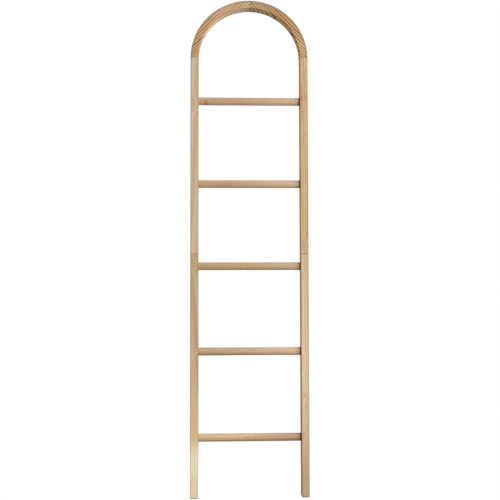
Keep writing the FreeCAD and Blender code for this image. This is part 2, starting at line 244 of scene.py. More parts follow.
def latewood_lines(tree, years):
    """From 0 in earlywood to 1 in the latewood of a strong year."""
    season = add(tree, "Math", {0: years}, operation="FRACT")
    summer = {"Value": season, "From Min": LINE_STARTS, "From Max": LINE_FULL}
    winter = {"Value": season, "From Min": LINE_STOPS, "From Max": 1.0, "To Min": 1.0, "To Max": 0.0}
    rise = add(tree, "MapRange", summer, interpolation_type="SMOOTHSTEP")
    stop = add(tree, "MapRange", winter, interpolation_type="SMOOTHSTEP")
    line = add(tree, "Math", {0: rise, 1: stop}, operation="MULTIPLY")
    year = add(tree, "Math", {0: years}, operation="FLOOR")
    chance = add(tree, "TexWhiteNoise", {"W": year}, noise_dimensions="1D")
    strength = add(tree, "MapRange", {"Value": chance, "To Min": WEAKEST_LINE, "To Max": 1.0})
    return add(tree, "Math", {0: line, 1: strength}, operation="MULTIPLY")


line_share = (LINE_STOPS + 1.0 - LINE_STARTS - LINE_FULL) / 2
print("a ring of 6 mm has a latewood line of about", round(6 * line_share, 1), "mm")

# %% [markdown]
# ## What the eye sees between the rings
# A wood fibre is 0.03 mm wide, far too fine to show, so bundles of fibres are drawn, half a millimetre
# wide and some centimetres long. They make the tone flicker a little. Pine also has resin canals: short
# brown dashes, finer than a pencil line. They are 0.2 mm wide in the real wood and drawn 0.5 mm wide,
# because finer ones would never reach a pixel.

# %% Fibres and resin canals
FIBRE_BUNDLE_MM, CANAL_MM = (0.45, 26), (0.5, 9)  # across and along the grain
REAL_CANAL_WIDTH_MM = 0.2
DARKEST_FIBRES, BRIGHTEST_FIBRES = 0.88, 1.1
CANAL_BROWN, CANAL_SHARE = "#8F6239", 0.45


def resin_canals(tree, log, seed):
    """The share of brown in the short dashes along the grain, and 0 elsewhere."""
    dashes = grain_pattern(tree, log, *CANAL_MM, seed + 29, detail=0.0)
    rare = {"Value": dashes, "From Min": 0.7, "From Max": 0.78, "To Min": 0.0, "To Max": 1.0}
    rare = add(tree, "MapRange", rare, interpolation_type="SMOOTHSTEP")
    return add(tree, "Math", {0: rare, 1: CANAL_SHARE}, operation="MULTIPLY")


def fibres_and_canals(tree, surface, fibres, canals):
    """A surface whose tone flickers with its fibres, crossed by resin canals."""
    tone = {"Value": fibres, "From Min": 0.25, "From Max": 0.75}
    tone = add(tree, "MapRange", {**tone, "To Min": DARKEST_FIBRES, "To Max": BRIGHTEST_FIBRES})
    toned = {"Factor": 1.0, "A": surface, "B": tone}
    surface = add(tree, "Mix", toned, data_type="RGBA", blend_type="MULTIPLY")
    return add(tree, "Mix", {"Factor": canals, "A": surface, "B": colour(CANAL_BROWN)}, data_type="RGBA")


print("resin canals are drawn", CANAL_MM[0] / REAL_CANAL_WIDTH_MM, "times as wide as they are")

# %% [markdown]
# ## Drifts across a board
# No board has one tone. Sapwood is paler than heartwood, and a stretch of slow growth is darker, so the
# colour drifts from one end or side to the other. A drift is measured on the ladder's own axes, or on
# the arch by the distance from its middle. The same measure finds what lies near a plane across the
# ladder, such as a seam.

# %% Drifts and planes
ARCH_FOOT_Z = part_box("arch_quarter_right")[0].z
FULL_PART = 0.3  # of the reach from a plane


def measured(tree, axis):
    """Position on the X, Y or Z axis of the ladder, or for R the distance from the arch's middle."""
    position = add(tree, "TexCoord").outputs["Object"]
    if axis == "R":
        from_middle = add(tree, "VectorMath", {0: position, 1: (0, 0, ARCH_FOOT_Z)}, operation="SUBTRACT")
        in_plane = add(tree, "VectorMath", {0: from_middle, 1: (1, 0, 1)}, operation="MULTIPLY")
        return add(tree, "VectorMath", {0: in_plane}, operation="LENGTH").outputs["Value"]
    return add(tree, "SeparateXYZ", {0: position}).outputs[axis]


def drifting(tree, surface, drifts):
    """A surface whose colour drifts. A drift is (axis, from, to, colour, the share of it past to)."""
    for axis, start, end, drift_colour, most in drifts:
        share = {"Value": measured(tree, axis), "From Min": start, "From Max": end}
        share = {**share, "To Min": 0.0, "To Max": most}
        share = add(tree, "MapRange", share, interpolation_type="SMOOTHSTEP")
        surface = {"Factor": share, "A": surface, "B": colour(drift_colour)}
        surface = add(tree, "Mix", surface, data_type="RGBA")
    return surface


def near_plane(tree, surface, planes):
    """A surface with another colour near planes. A plane is (axis, place, reach in mm, share, colour). Its
    colour has its whole share in the inner part of the reach, and fades to nothing at the end of it."""
    for axis, place, reach_mm, most, plane_colour in planes:
        away = add(tree, "Math", {0: measured(tree, axis), 1: place}, operation="SUBTRACT")
        away = add(tree, "Math", {0: away}, operation="ABSOLUTE")
        share = {"Value": away, "From Min": FULL_PART * reach_mm * MM, "From Max": reach_mm * MM}
        share = {**share, "To Min": most, "To Max": 0.0}
        share = add(tree, "MapRange", share, interpolation_type="SMOOTHSTEP")
        surface = {"Factor": share, "A": surface, "B": colour(plane_colour)}
        surface = add(tree, "Mix", surface, data_type="RGBA")
    return surface


print("the arch's middle is at a height of", round(ARCH_FOOT_Z, 4), "m")

# %% [markdown]
# ## The colour of a planed face
# Planed and sanded pine is cream to honey in colour, with latewood lines from amber to brown. The lines
# fade in patches, where the plane met the rings at a low angle, and slow streaks of a warmer tone run
# with the grain. Some drifts belong under the lines, in the earlywood alone, because a drift over them
# would wash them out.

# %% The planed face
STREAK_MM, PATCH_MM = (5, 190), (26, 330)  # across and along the grain


def planed_face(
    tree,
    log,
    latewood,
    seed,
    early,
    late,
    streak,
    contrast=0.5,
    fades_to=0.55,
    streakiness=0.6,
    early_drifts=(),
    drifts=(),
    plain_stretches=(),
):
    """Colour of a planed face. early_drifts lie under the latewood lines, the rest over them."""
    streaks = grain_pattern(tree, log, *STREAK_MM, seed + 11)
    patches = grain_pattern(tree, log, *PATCH_MM, seed + 17)
    depth = {"Value": patches, "From Min": 0.36, "From Max": 0.6}
    depth = {**depth, "To Min": fades_to * contrast, "To Max": contrast}
    depth = add(tree, "MapRange", depth, interpolation_type="SMOOTHSTEP")
    depth = add(tree, "Math", {0: latewood, 1: depth}, operation="MULTIPLY")
    earlywood = drifting(tree, colour(early), early_drifts)
    surface = add(tree, "Mix", {"Factor": depth, "A": earlywood, "B": colour(late)}, data_type="RGBA")
    streaky = {"Value": streaks, "From Min": 0.46, "From Max": 0.72, "To Min": 0.0, "To Max": streakiness}
    streaky = add(tree, "MapRange", streaky, interpolation_type="SMOOTHSTEP")
    surface = add(tree, "Mix", {"Factor": streaky, "A": surface, "B": colour(streak)}, data_type="RGBA")
    surface = drifting(tree, surface, drifts)
    return near_plane(tree, surface, plain_stretches)


print("streaks of", STREAK_MM, "mm and patches of", PATCH_MM, "mm")

# %% [markdown]
# ## Cut ends, rounded edges and seams
# Where a board is cut across, the fibres are seen from the end. They drink up the finish and turn
# darker. The surface knows which parts those are: there its normal points along the grain. The long
# edges were rounded with a cutter of 3 mm radius and sanded, and shade is painted on them, darker and
# greyer than the flat faces, where they turn away from the light. Finish and dust also collect in a
# seam, where two pieces meet, and leave a brown line.

# %% Cut ends and edges
END_GRAIN, END_SHARE = "#8A5F38", 0.55
# grey of the shade painted on the rounded edges
EDGE_SHADE_GREY = "#7A644A"
END_STARTS, END_FULL = 0.45, 0.95  # sines of the angle between the surface and the grain
EDGE_STARTS, EDGE_FULL = 0.02, 0.2  # of a slant that is 0.25 half-way round an edge


def cut_ends(tree, grain):
    """From 0 on long grain to 1 on end grain."""
    normal = add(tree, "NewGeometry").outputs["Normal"]
    facing = add(tree, "VectorMath", {0: normal, 1: Vector(grain).normalized()}, operation="DOT_PRODUCT")
    facing = add(tree, "Math", {0: facing}, operation="ABSOLUTE")
    facing = {"Value": facing, "From Min": END_STARTS, "From Max": END_FULL}
    return add(tree, "MapRange", facing, interpolation_type="SMOOTHSTEP")


def rounded_edges(tree):
    """1 half-way round an edge between a front or back face and a side, 0 on the faces."""
    normal = add(tree, "NewGeometry").outputs["Normal"]
    depth = add(tree, "SeparateXYZ", {0: normal}).outputs["Y"]
    square = add(tree, "Math", {0: depth, 1: depth}, operation="MULTIPLY")
    rest = add(tree, "Math", {0: 1.0, 1: square}, operation="SUBTRACT")
    slant = add(tree, "Math", {0: square, 1: rest}, operation="MULTIPLY")
    return add(tree, "MapRange", {"Value": slant, "From Min": EDGE_STARTS, "From Max": EDGE_FULL})


def ends_and_edges(tree, surface, grain, edge_shade):
    """Paints cut ends brown, and painted shade on the rounded edges, grey by a share."""
    ends = add(tree, "Math", {0: cut_ends(tree, grain), 1: END_SHARE}, operation="MULTIPLY")
    surface = add(tree, "Mix", {"Factor": ends, "A": surface, "B": colour(END_GRAIN)}, data_type="RGBA")
    if edge_shade:
        # Painted shade on the rounded edges, where they turn away from the light.
        shaded_edges = add(tree, "Math", {0: rounded_edges(tree), 1: edge_shade}, operation="MULTIPLY")
        surface = add(tree, "Mix", {"Factor": shaded_edges, "A": surface, "B": colour(EDGE_SHADE_GREY)}, data_type="RGBA")
    return surface


slants = [round(math.degrees(math.asin(sine))) for sine in (END_STARTS, END_FULL)]
print("end grain comes on between slants of", slants[0], "and", slants[1], "degrees to the grain")

# %% [markdown]
# ## Pine under a thin matt lacquer
# The lacquer is matt: the shine is a wide, weak glow, with a roughness of 0.6 to 0.7. Lacquer has an
# index of 1.5, but the coat is thin and broken by the wood's pores, so only half of its gloss is left.
# The hard latewood stands a few hundredths of a millimetre proud after sanding, and the resin canals
# are tiny grooves.

# %% The lacquer
INDEX_OF_LACQUER = 1.5
GLOSS_LEFT = 0.25  # Blender's 0.5 is a full coat
ROUGHNESS_OF_MATT_LACQUER = 0.62
MORE_IN_LATEWOOD, MORE_IN_FIBRES = -0.06, 0.12  # added to the roughness
LATEWOOD_HEIGHT, CANAL_HEIGHT = 0.5, -0.8
RELIEF_MM, RELIEF_SHOWN = 0.15, 0.35


def lacquered(tree, surface, latewood, fibres, canals):
    """Ends a material: wood of this colour, with its relief, under matt lacquer."""
    roughness = {0: latewood, 1: MORE_IN_LATEWOOD, 2: ROUGHNESS_OF_MATT_LACQUER}
    roughness = add(tree, "Math", roughness, operation="MULTIPLY_ADD")
    roughness = {0: fibres, 1: MORE_IN_FIBRES, 2: roughness}
    relief = add(tree, "Math", {0: latewood, 1: LATEWOOD_HEIGHT, 2: fibres}, operation="MULTIPLY_ADD")
    relief = add(tree, "Math", {0: canals, 1: CANAL_HEIGHT, 2: relief}, operation="MULTIPLY_ADD")
    relief = {"Height": relief, "Strength": RELIEF_SHOWN, "Distance": RELIEF_MM * MM}
    inputs = {
        "Base Color": surface,
        "Roughness": add(tree, "Math", roughness, operation="MULTIPLY_ADD"),
        "IOR": INDEX_OF_LACQUER,
        "Specular IOR Level": GLOSS_LEFT,
        "Normal": add(tree, "Bump", relief),
    }
    add(tree, "OutputMaterial", {"Surface": add(tree, "BsdfPrincipled", inputs)})


mirrored = ((INDEX_OF_LACQUER - 1) / (INDEX_OF_LACQUER + 1)) ** 2
print("head on, a full coat mirrors", round(100 * mirrored), "per cent of the light; half of it is left")


# %% Pine
def pine(
    name, grain, pith, ring_mm, seed, uneven=2.4, wobble_mm=7.0, knots=(), seams=(), edge_shade=0.0, **face
):
    """Pine. A knot is (place, radius in mm, strength of its own colour). face goes to planed_face."""
    material, tree = new_material(name)
    log = log_coordinates(tree, grain, pith)
    nearnesses = [(knot_nearness(tree, log, grain, pith, place, r), r) for place, r, _ in knots]
    lift = lift_from_knots(tree, nearnesses)
    years = years_from_pith(tree, log, ring_mm, seed, lift, wobble_mm, uneven)
    latewood = latewood_lines(tree, years)
    fibres = grain_pattern(tree, log, *FIBRE_BUNDLE_MM, seed + 7, detail=4.0)
    canals = resin_canals(tree, log, seed)

    surface = planed_face(tree, log, latewood, seed, **face)
    surface = fibres_and_canals(tree, surface, fibres, canals)
    surface = knot_colours(tree, surface, nearnesses, [strength for _, _, strength in knots])
    surface = ends_and_edges(tree, surface, grain, edge_shade)
    surface = near_plane(tree, surface, seams)
    lacquered(tree, surface, latewood, fibres, canals)
    return material


def dress(node_name, material):
    """Gives a ready-made piece a finish, in every one of its material slots."""
    for slot in pieces[node_name].material_slots:
        slot.material = material


slot_count = sum(len(piece.material_slots) for piece in pieces.values())
print(len(pieces), "pieces wait for a finish, in", slot_count, "slots")

# %% [markdown]
# ## The four lengths of stile
# They are four boards from four trees, and it shows: the two on the right have straight streaks, and
# the two on the left are plainer. Towards the floor the left one fades to cream, and the right one
# ripens to amber. A thin brown seam crosses each stile near its middle, where two lengths meet.

# %% Measure the stiles
stile_low, stile_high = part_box("upper_stile_right")
STILE_X = (stile_low.x + stile_high.x) / 2
FRONT_Y = stile_low.y
INNER_X = stile_low.x
JOINT_Z = stile_low.z
HALF_UP_UPPER, HALF_UP_LOWER = 1.2, 0.4  # heights about half-way up a length, where its pith is placed
# Brown of the seam where two lengths meet, and of the painted shadow where a rung enters the right stile.
SEAM_AND_SHADOW_BROWN = "#58290A"
STILE_SEAM = ("Z", JOINT_Z, 1.4, 0.85, SEAM_AND_SHADOW_BROWN)
STILE_EDGE_SHADE = 0.55


def on_front(x_mm, z_mm):
    """Point on the front face, in mm across from the middle of the ladder and up from the floor."""
    return (x_mm * MM, FRONT_Y, z_mm * MM)


print("stiles", round(2 * STILE_X, 4), "m apart, joined at", round(JOINT_Z, 4), "m")

# %% Choose four boards
STILES = {
    "upper_stile_left": dict(
        early="#DCC0A0",
        late="#B58E66",
        streak="#D5AB84",
        grain=(0.004, 0.010, 1),
        pith=(-STILE_X + 22 * MM, 70 * MM, HALF_UP_UPPER),
        ring_mm=5.6,
        seed=2.0,
        contrast=0.6,
        knots=[(on_front(-206, 1442), 9, 0.15)],
        # The second drift is painted shade along the outer edge.
        drifts=[("X", -0.202, -0.193, "#C0B38F", 0.5), ("X", -0.212, -0.217, "#9C8568", 0.5)],
    ),
    "upper_stile_right": dict(
        early="#DCBC91",
        late="#AE7B48",
        streak="#C28B54",
        grain=(0.006, 0.004, 1),
        pith=(STILE_X - 64 * MM, 30 * MM, HALF_UP_UPPER),
        ring_mm=6.4,
        seed=9.0,
        contrast=0.8,
        streakiness=0.8,
        knots=[(on_front(206, 912), 10, 0.12), (on_front(195, 1462), 6, 0.25)],
        # This drift is painted shade along the outer edge.
        drifts=[("X", 0.212, 0.217, "#A08562", 0.6)],
    ),
    "lower_stile_left": dict(
        early="#D0B08A",
        late="#A47A50",
        streak="#C2935A",
        grain=(-0.012, 0.014, 1),
        pith=(-STILE_X - 20 * MM, 78 * MM, HALF_UP_LOWER),
        ring_mm=6.2,
        seed=15.0,
        contrast=0.65,
        knots=[
            (on_front(-203, 218), 8, 0.12),
            (on_front(-204, 850), 8, 0.15),
            (on_front(-196, 530), 3, 0.2),
        ],
        drifts=[
            ("X", -0.208, -0.215, "#B6A272", 0.5),
            ("Z", 0.44, 0.26, "#DFBD89", 0.75),
            ("Z", 0.25, 0.13, "#FBE7C6", 0.92),
            ("Z", 0.085, 0.06, "#EBC799", 0.3),
        ],
    ),
    "lower_stile_right": dict(
        early="#DAC2A5",
        late="#B89167",
        streak="#CEAB83",
        grain=(0.010, -0.006, 1),
        pith=(STILE_X + 52 * MM, 60 * MM, HALF_UP_LOWER),
        ring_mm=6.2,
        seed=23.0,
        contrast=0.6,
        knots=[
            (on_front(193, 226), 6, 0.2),
            (on_front(191, 802), 3, 0.25),
            (on_front(195, 494), 5, 0.1),
            (on_front(202, 369), 5, 0.15),
            (on_front(206, 321), 5, 0.1),
        ],
        drifts=[("Z", 0.42, 0.04, "#C69C6F", 0.8), ("X", 0.204, 0.210, "#BDAB77", 0.55)],
    ),
}
print("boards with rings of", [wood["ring_mm"] for wood in STILES.values()], "mm")

# %% Dress the stiles
for name, wood in STILES.items():
    dress(name, pine(f"pine_{name}", seams=[STILE_SEAM], edge_shade=STILE_EDGE_SHADE, **wood))
    print(name, "dressed, knots:", len(wood["knots"]))

# %% [markdown]
# ## The arch
# A half ring can't be sawn from one board: the grain would run straight across it somewhere, and it
# would snap there. So it is two quarters, each with its grain along its chord, and they meet at the
# crown. The wood is from fast-grown trees with wide rings and strong latewood, so each quarter shows
# stripes at 45 degrees, mirrored at the crown. In the picture they are 7 to 8 mm apart, which is two
# pixels. They are drawn 9 mm apart, so that they show as lines and not as a blur.
#
# Both quarters turn olive towards the crown, and the right one is golden brown above its foot. Near the
# crown each has a plain stretch, where the lines grow faint: a wide one on the left and a weak one on
# the right. The left quarter's inner side, lit by the lamp on the right, is painted paler: painted
# light. Both have painted shade along the outer edge, which is greyer there.

# %% Measure the quarters
RING_OF_ARCH_MM = 9.0
PITH_DISTANCE = {"left": 0.30, "right": 0.28}
PITH_BEHIND = Vector((0.0, 20 * MM, 0.0))


def quarter(side):
    """Direction of a quarter's grain, and a point on its pith."""
    lean = 1 if side == "left" else -1
    chord = Vector((lean, 0.0, 1.0)).normalized()
    inwards = Vector((lean, 0.0, -1.0)).normalized()
    middle = Vector((-lean * STILE_X, 0.0, ARCH_FOOT_Z)) + chord * STILE_X / math.sqrt(2)
    return chord, middle + inwards * PITH_DISTANCE[side] + PITH_BEHIND


print("grain of the left quarter runs along", [round(v, 3) for v in quarter("left")[0]])

# %% Dress the arch
# Paler colour painted as light on the left quarter's inner side, and grey painted as shade along the outer
# edges.
PALE_LIT_INNER_SIDE, SHADED_OUTER_EDGE = "#DCCBAE", "#93846F"
QUARTERS = {
    "left": dict(
        early="#E1AF77",
        seed=31.0,
        early_drifts=[
            ("Z", ARCH_FOOT_Z + 0.05, ARCH_FOOT_Z + 0.015, "#DEB47B", 1.0),
            ("X", -0.15, -0.085, "#EFC899", 1.0),
            ("X", -0.06, -0.02, "#E1C193", 1.0),
        ],
        # Painted light on the inner side, then painted shade along the outer edge.
        drifts=[("R", 0.1925, 0.189, PALE_LIT_INNER_SIDE, 0.5), ("R", 0.207, 0.214, SHADED_OUTER_EDGE, 0.6)],
        plain_stretches=[("X", -0.083, 46, 0.7, "#C8A57E")],
    ),
    "right": dict(
        early="#E7B67B",
        seed=43.0,
        early_drifts=[
            ("Z", ARCH_FOOT_Z + 0.05, ARCH_FOOT_Z + 0.155, "#D8A96E", 1.0),
            ("X", 0.125, 0.05, "#D7B385", 1.0),
        ],
        # Painted shade along the outer edge.
        drifts=[("R", 0.206, 0.214, SHADED_OUTER_EDGE, 0.75)],
        plain_stretches=[("X", 0.052, 30, 0.35, "#B4936E")],
    ),
}
for side, wood in QUARTERS.items():
    chord, pith = quarter(side)
    finish = pine(
        f"pine_arch_{side}",
        grain=chord,
        pith=pith,
        ring_mm=RING_OF_ARCH_MM,
        late="#3E1B05",
        streak="#C2864B",
        contrast=1.0,
        fades_to=0.85,
        uneven=0.4,
        streakiness=0.35,
        wobble_mm=3.6,
        edge_shade=0.5,
        **wood,
    )
    dress(f"arch_quarter_{side}", finish)
print("two quarters dressed, with rings of", RING_OF_ARCH_MM, "mm")

# %% [markdown]
# ## The rungs
# Rungs are turned from straight-grained stock, so the lines run along them. Each comes from another
# board, and the tone drifts along each from one end to the other. Where a rung enters the right stile,
# the stile's shadow is painted on it: a soft brown shade with a dark line in it. The lamp stands to the
# right, so the left ends get no painted shadow. The top rung has a small knot near its left end.

# %% Dress the rungs
# A painted shadow of the right stile on each rung's right end: a wide soft shade, and a dark line next to
# the stile.
SHADOW_AT_RIGHT_SOCKETS = [("X", INNER_X, 26.0, 0.25, SEAM_AND_SHADOW_BROWN), ("X", INNER_X, 8.0, 0.95, SEAM_AND_SHADOW_BROWN)]
DRIFT_STARTS_X, DRIFT_SHARE = -0.1, 0.75
KNOT_X, KNOT_RADIUS_MM, KNOT_STRENGTH = -0.159, 4, 0.6
RUNGS = [  # from the floor up: early, late, streak, early at the right end, seed
    ("#D2B591", "#AD8259", "#C2976F", "#AA8869", 51.0),
    ("#C0A280", "#9F7A57", "#B18C65", "#D2B694", 58.0),
    ("#C4A77D", "#A68055", "#B99B60", "#C8AF8B", 64.0),
    ("#D0AE85", "#B0865B", "#C59969", "#D9BF9F", 71.0),
    ("#CEAE8B", "#A97F54", "#C09569", "#D4BB99", 77.0),
]
for number, (early, late, streak, right_end, seed) in enumerate(RUNGS, start=1):
    low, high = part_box(f"rung_{number}")
    height = (low.z + high.z) / 2
    knot = ((KNOT_X, FRONT_Y, height), KNOT_RADIUS_MM, KNOT_STRENGTH)
    finish = pine(
        f"pine_rung_{number}",
        early=early,
        late=late,
        streak=streak,
        grain=(1, 0.004, 0.006),
        pith=(0.0, 26 * MM, height - 38 * MM),
        ring_mm=4.0,
        seed=seed,
        contrast=0.5,
        knots=[knot] if number == len(RUNGS) else [],
        drifts=[("X", DRIFT_STARTS_X, INNER_X, right_end, DRIFT_SHARE)],
        seams=SHADOW_AT_RIGHT_SOCKETS,
    )
    dress(f"rung_{number}", finish)
    print("rung", number, "dressed, at a height of", round(height, 4), "m")

# %% [markdown]
# ## Plugs and dowels
# The plugs over the bolt heads are slices of pine dowel, so their faces are end grain, darker than the
# stile around them. The hidden dowels are beech: close and even, pinkish, with short dark flecks where
# the rays show. A ray fleck is 1 to 2 mm long.

# %% Plugs
PLUG_PITH = (0.0, 9 * MM, 0.4)
RING_OF_PLUG_MM = 2.2
for side in ("left", "right"):
    wood = pine(
        f"pine_plug_{side}",
        early="#C79F70",
        late="#94683C",
        streak="#B98A58",
        grain=(1, 0.05, 0.03),
        pith=PLUG_PITH,
        ring_mm=RING_OF_PLUG_MM,
        seed=83.0,
        contrast=0.8,
    )
    dress(f"rung_plugs_{side}", wood)
print("plugs dressed, with rings of", RING_OF_PLUG_MM, "mm")

# %% Beech dowels
BEECH_FIBRE_MM, RAY_MM = (0.6, 3.0), (0.35, 1.6)  # across and along the grain
beech_dowel, tree = new_material("beech_dowel")
log = log_coordinates(tree, (0, 0, 1), (0, 0, 0))
fibres = grain_pattern(tree, log, *BEECH_FIBRE_MM, 5.0, detail=3.0)
rays = grain_pattern(tree, log, *RAY_MM, 8.0)
flecks = {"Value": rays, "From Min": 0.62, "From Max": 0.72, "To Min": 0.0, "To Max": 0.6}
flecks = add(tree, "MapRange", flecks)
surface = {"Factor": fibres, "A": colour("#CFA883"), "B": colour("#DDBC99")}
surface = add(tree, "Mix", surface, data_type="RGBA")
surface = add(tree, "Mix", {"Factor": flecks, "A": surface, "B": colour("#A87A55")}, data_type="RGBA")
inputs = {
    "Base Color": surface,
    "Roughness": 0.65,
    "Normal": add(tree, "Bump", {"Height": fibres, "Strength": 0.3, "Distance": 0.1 * MM}),
}
add(tree, "OutputMaterial", {"Surface": add(tree, "BsdfPrincipled", inputs)})
dress("crown_dowels", beech_dowel)
for side in ("left", "right"):
    dress(f"arch_foot_dowels_{side}", beech_dowel)
    dress(f"stile_dowel_{side}", beech_dowel)
print("dowels dressed, with flecks of", RAY_MM, "mm")

# %% [markdown]
# ## Metal fittings
# The bolts are steel with a bright zinc plate: a metal, so metallic 1, cool grey with a faint blue, and
# smooth enough to be shiny but not a mirror. The cams are cast from zinc, tumbled, and duller. The
# inserts are machined brass. All three vary in roughness in patches of about a millimetre, because
# handling and the plating bath leave them uneven.


# %% Metal fittings
def metal(name, tint, dull, smooth, rough, patch_mm):
    """Metal whose roughness wanders from smooth to rough over patches of a size."""
    material, tree = new_material(name)
    position = add(tree, "TexCoord").outputs["Object"]
    patch = add(tree, "TexNoise", {"Vector": position, "Scale": 1 / (patch_mm * MM), "Detail": 3.0})
    uneven = {"Value": patch, "From Min": 0.3, "From Max": 0.7, "To Min": smooth, "To Max": rough}
    tinted = {"Factor": patch, "A": colour(tint), "B": colour(dull)}
    inputs = {
        "Base Color": add(tree, "Mix", tinted, data_type="RGBA"),
        "Metallic": 1.0,
        "Roughness": add(tree, "MapRange", uneven),
        "Normal": add(tree, "Bump", {"Height": patch, "Strength": 0.2, "Distance": 0.05 * MM}),
    }
    add(tree, "OutputMaterial", {"Surface": add(tree, "BsdfPrincipled", inputs)})
    return material


zinc_plate = metal("zinc_plate", "#C9CDD2", "#A8ADB4", smooth=0.22, rough=0.4, patch_mm=1.5)
tumbled_zinc = metal("tumbled_cast_zinc", "#A9ACB0", "#8B8E92", smooth=0.45, rough=0.65, patch_mm=0.8)
brass = metal("machined_brass", "#D9B36A", "#B98F48", smooth=0.25, rough=0.42, patch_mm=1.2)
for side in ("left", "right"):
    dress(f"rung_bolts_{side}", zinc_plate)
    dress(f"cam_bolt_{side}", zinc_plate)
    dress(f"cam_{side}", tumbled_zinc)
    dress(f"rung_inserts_{side}", brass)
print("metal fittings dressed in", zinc_plate.name, tumbled_zinc.name, brass.name)

# %% [markdown]
# ## Covers over the cams
# They are moulded in ABS, in a wood tone, in a mould whose steel was spark-eroded to a fine texture of
# about a quarter of a millimetre. That gives an even, satin surface. It is too fine to see at the size
# of the picture, so it is drawn at 0.5 mm. The tone clouds a little over 6 mm, as the pigment flowed.
# ABS has an index of 1.54.

# %% Cam covers
ERODED_MM, CLOUD_MM = 0.5, 6
INDEX_OF_ABS = 1.54
wood_tone_abs, tree = new_material("wood_tone_abs")
position = add(tree, "TexCoord").outputs["Object"]
texture = add(tree, "TexNoise", {"Vector": position, "Scale": 1 / (ERODED_MM * MM), "Detail": 2.0})
cloud = add(tree, "TexNoise", {"Vector": position, "Scale": 1 / (CLOUD_MM * MM), "Detail": 2.0})
satin = {"Value": texture, "From Min": 0.3, "From Max": 0.7, "To Min": 0.48, "To Max": 0.62}
tinted = {"Factor": cloud, "A": colour("#BF9C70"), "B": colour("#CDAB80")}
inputs = {
    "Base Color": add(tree, "Mix", tinted, data_type="RGBA"),
    "Roughness": add(tree, "MapRange", satin),
    "IOR": INDEX_OF_ABS,
    "Normal": add(tree, "Bump", {"Height": texture, "Strength": 0.3, "Distance": 0.04 * MM}),
}
add(tree, "OutputMaterial", {"Surface": add(tree, "BsdfPrincipled", inputs)})
for side in ("left", "right"):
    dress(f"cam_cover_{side}", wood_tone_abs)
print("covers dressed, with a texture of", ERODED_MM, "mm")

# %% [markdown]
# ## Felt pads under the feet
# Pressed wool felt has no weave. It is a mat of crimped fibres, grey-brown and very rough, and where it
# is cut it frays a little. The solid pad is a plain block, so it gives way to a modelled one: the sides
# bulge slightly under the weight and the skin is uneven. Wool fibres are 0.03 mm thick, far too fine
# for a mesh, so bundles of them, 0.5 mm wide, are drawn as bump, with a little sheen for the fuzz.

# %% The felt finish
BUNDLE_MM, BLOTCH_MM = 0.5, 5
wool_felt, tree = new_material("wool_felt")
position = add(tree, "TexCoord").outputs["Object"]
bundles = {"Vector": position, "Scale": 1 / (BUNDLE_MM * MM), "Detail": 5.0, "Roughness": 0.7}
bundles = add(tree, "TexNoise", bundles)
blotches = add(tree, "TexNoise", {"Vector": position, "Scale": 1 / (BLOTCH_MM * MM), "Detail": 2.0})
share = {"Value": blotches, "From Min": 0.4, "From Max": 0.7, "To Min": 0.0, "To Max": 0.4}
share = add(tree, "MapRange", share)
surface = {"Factor": bundles, "A": colour("#8A785F"), "B": colour("#B39F83")}
surface = add(tree, "Mix", surface, data_type="RGBA")
blotched = {"Factor": share, "A": surface, "B": colour("#75664F")}
inputs = {
    "Base Color": add(tree, "Mix", blotched, data_type="RGBA"),
    "Roughness": 0.95,
    "Sheen Weight": 0.4,
    "Sheen Roughness": 0.6,
    "Normal": add(tree, "Bump", {"Height": bundles, "Strength": 0.8, "Distance": 0.3 * MM}),
}
add(tree, "OutputMaterial", {"Surface": add(tree, "BsdfPrincipled", inputs)})
print("felt mixed, with fibre bundles of", BUNDLE_MM, "mm")

# %% [markdown]
# The pad's shape is drawn as rows of points, from the floor to the foot. Each row follows a rectangle
# with rounded corners, and rows near the middle stand a little further out. Then each point is pressed
# in by up to a quarter of a millimetre, here more and there less. The pad never leaves the space of the
# solid one.

# %% The outline of a pad
CORNER, BULGE, DENT = 2.0 * MM, 0.35 * MM, 0.12 * MM
DENT_WIDTH = 0.8 * MM
ROWS = 8
CORNER_STEPS = 6


def rounded_rectangle(half_width, half_depth, radius):
    """Points round a rectangle with rounded corners, counter-clockwise."""
    points = []
    for turn, (sx, sy) in enumerate(((1, 1), (-1, 1), (-1, -1), (1, -1))):
        for k in range(CORNER_STEPS + 1):
            angle = math.pi / 2 * (turn + k / CORNER_STEPS)
            x = sx * (half_width - radius) + radius * math.cos(angle)
            y = sy * (half_depth - radius) + radius * math.sin(angle)
            points.append((x, y))
    return points


def pad_outlines(mesh, low, high):
    """Rows of vertices round a pad that fills the box from low to high."""
    middle, half = (low + high) / 2, (high - low) / 2
    outlines = []
    for row in range(ROWS + 1):
        height = row / ROWS
        inset = BULGE * (2 * height - 1) ** 2
        outline = []
        for x, y in rounded_rectangle(half.x - inset, half.y - inset, CORNER - inset):
            point = Vector((middle.x + x, middle.y + y, low.z + (high.z - low.z) * height))
            dent = DENT * (noise.noise(point / DENT_WIDTH) - 1)
            outline.append(mesh.verts.new(point + Vector((x, y, 0.0)).normalized() * dent))
        outlines.append(outline)
    return outlines


print("a pad has", ROWS + 1, "rows of", len(rounded_rectangle(1.0, 1.0, 0.1)), "points")


